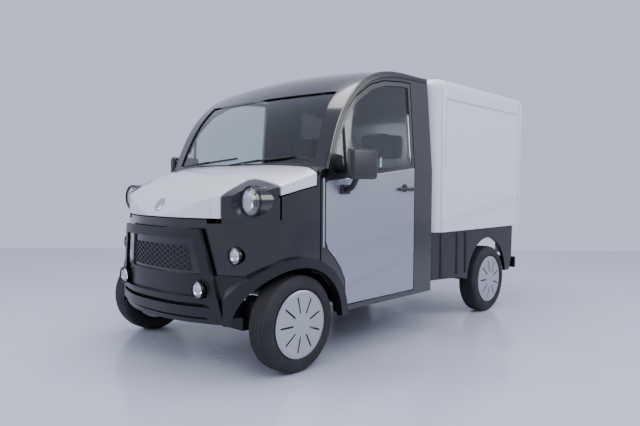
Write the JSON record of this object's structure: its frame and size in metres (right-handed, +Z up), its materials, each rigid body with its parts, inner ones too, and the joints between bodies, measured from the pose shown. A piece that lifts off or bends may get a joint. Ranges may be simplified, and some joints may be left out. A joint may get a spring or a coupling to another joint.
{
  "type": "microcar pickup truck",
  "caption": "Small two-seat electric microcar pickup with a rounded cab, round headlamps, front guard and a closed moulded load box with rear doors.",
  "frame": {"origin": "on the floor, under the middle of the vehicle's length and width", "axes": "+X forward, +Y to the vehicle's left, +Z up"},
  "size_m": [3.1309, 1.77, 1.7647],
  "materials": {
    "black_satin": "satin black moulded plastic",
    "black_gloss": "gloss black lacquered plastic",
    "silver_white": "silver-white lacquer",
    "door_silver": "metallic silver lacquer",
    "box_white": "white gelcoat",
    "glass": "clear",
    "lamp": "clear lens",
    "steel_dark": "black painted steel",
    "rubber": "tyre rubber",
    "cap_silver": "silver wheel and cap",
    "seat": "dark grey cloth",
    "dash": "grained dark plastic",
    "red_lens": "red lens",
    "alloy": "cast"
  },
  "bodies": {
    "chassis": {"chassis_frame": "steel_dark", "front_suspension": "steel_dark", "rear_axle": "steel_dark", "drive_unit": "alloy", "battery_pack": "steel_dark", "floor_pan": "black_satin", "cab_frame": "black_gloss", "roof_panel": "black_satin", "windscreen": "glass", "cowl": "black_satin", "nose_panel": "black_gloss", "headlamp_housings": "black_gloss", "lamp_lenses": "lamp", "bumper": "black_satin", "front_guard": "black_satin", "grille": "black_satin", "dashboard": "dash", "steering_column": "dash", "seats": "seat", "box_body": "box_white", "side_skirts": "black_satin", "rear_bumper": "black_satin", "rear_lamps": "red_lens"},
    "steering_wheel": {"steering_wheel": "dash"},
    "door_left": {"door_left_panel": "door_silver", "door_left_glass": "glass", "door_left_fittings": "black_satin"},
    "door_right": {"door_right_panel": "door_silver", "door_right_glass": "glass", "door_right_fittings": "black_satin"},
    "bonnet": {"bonnet": "silver_white"},
    "rear_door_left": {"rear_door_left": "box_white"},
    "rear_door_right": {"rear_door_right": "box_white"},
    "knuckle_left": {"knuckle_left": "steel_dark"},
    "knuckle_right": {"knuckle_right": "steel_dark"},
    "wheel_front_left": {"wheel_front_left": "cap_silver", "tyre_front_left": "rubber"},
    "wheel_front_right": {"wheel_front_right": "cap_silver", "tyre_front_right": "rubber"},
    "wheel_rear_left": {"wheel_rear_left": "cap_silver", "tyre_rear_left": "rubber"},
    "wheel_rear_right": {"wheel_rear_right": "cap_silver", "tyre_rear_right": "rubber"}
  },
  "joints": [
    {"name": "steer_left", "type": "hinge", "parent": "chassis", "child": "knuckle_left", "pos_m": [1.1295, 0.64, 0.26], "axis": [0, 0, 1], "range_deg": [-30, 30]},
    {"name": "steer_right", "type": "hinge", "parent": "chassis", "child": "knuckle_right", "pos_m": [1.1295, -0.64, 0.26], "axis": [0, 0, 1], "range_deg": [-30, 30]},
    {"name": "steering_wheel_turn", "type": "hinge", "parent": "chassis", "child": "steering_wheel", "pos_m": [0.6095, 0.33, 1.01], "axis": [-0.866, 0, 0.5], "range_deg": [-450, 450]},
    {"name": "door_left_hinge", "type": "hinge", "parent": "chassis", "child": "door_left", "pos_m": [0.9475, 0.757, 0.7], "axis": [0, 0, -1], "range_deg": [0, 65]},
    {"name": "door_right_hinge", "type": "hinge", "parent": "chassis", "child": "door_right", "pos_m": [0.9475, -0.757, 0.7], "axis": [0, 0, 1], "range_deg": [0, 65]},
    {"name": "bonnet_hinge", "type": "hinge", "parent": "chassis", "child": "bonnet", "pos_m": [0.9145, 0, 1.12], "axis": [0, -1, 0], "range_deg": [0, 50]},
    {"name": "rear_door_left_hinge", "type": "hinge", "parent": "chassis", "child": "rear_door_left", "pos_m": [-1.5655, 0.76, 1.2], "axis": [0, 0, -1], "range_deg": [0, 110]},
    {"name": "rear_door_right_hinge", "type": "hinge", "parent": "chassis", "child": "rear_door_right", "pos_m": [-1.5655, -0.76, 1.2], "axis": [0, 0, 1], "range_deg": [0, 110]},
    {"name": "wheel_front_left_spin", "type": "hinge", "parent": "knuckle_left", "child": "wheel_front_left", "pos_m": [1.1295, 0.687, 0.26], "axis": [0, 1, 0], "continuous": true},
    {"name": "wheel_front_right_spin", "type": "hinge", "parent": "knuckle_right", "child": "wheel_front_right", "pos_m": [1.1295, -0.687, 0.26], "axis": [0, 1, 0], "continuous": true},
    {"name": "wheel_rear_left_spin", "type": "hinge", "parent": "chassis", "child": "wheel_rear_left", "pos_m": [-1.0255, 0.687, 0.26], "axis": [0, 1, 0], "continuous": true},
    {"name": "wheel_rear_right_spin", "type": "hinge", "parent": "chassis", "child": "wheel_rear_right", "pos_m": [-1.0255, -0.687, 0.26], "axis": [0, 1, 0], "continuous": true}
  ],
  "couplings": [
    {"joint": "steer_right", "follows": "steer_left", "ratio": 1},
    {"joint": "steering_wheel_turn", "follows": "steer_left", "ratio": 15}
  ]
}
